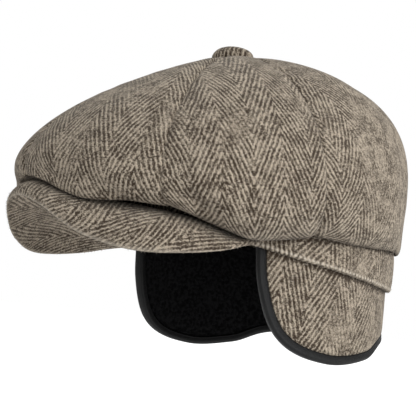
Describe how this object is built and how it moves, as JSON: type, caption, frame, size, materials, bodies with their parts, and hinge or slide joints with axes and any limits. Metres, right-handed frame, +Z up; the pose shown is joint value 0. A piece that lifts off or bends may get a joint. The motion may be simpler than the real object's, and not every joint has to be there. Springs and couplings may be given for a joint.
{
  "type": "flat cap",
  "caption": "Full flat cap of herringbone wool with a covered button, a stiff arched peak, a band, and a fleece-lined flap with a bound edge round the ears and neck.",
  "frame": {"origin": "centre of the head opening, level with the band's lower edge at the sides, where the cap sits on a head", "axes": "+Z up, -Y to the front where the peak is, +X to the wearer's left"},
  "size_m": [0.2256, 0.2713, 0.2024],
  "materials": {
    "wool": "brown and beige herringbone wool, napped",
    "fleece": "black fleece, matt",
    "binding": "black binding tape with a slight sheen"
  },
  "bodies": {
    "root": {"crown_panel_1": "wool", "crown_panel_2": "wool", "crown_panel_3": "wool", "crown_panel_4": "wool", "crown_panel_5": "wool", "crown_panel_6": "wool", "crown_panel_7": "wool", "crown_panel_8": "wool", "button": "wool", "band": "wool", "peak": "wool", "ear_flap": "wool", "flap_lining": "fleece", "flap_binding": "binding"}
  },
  "joints": []
}
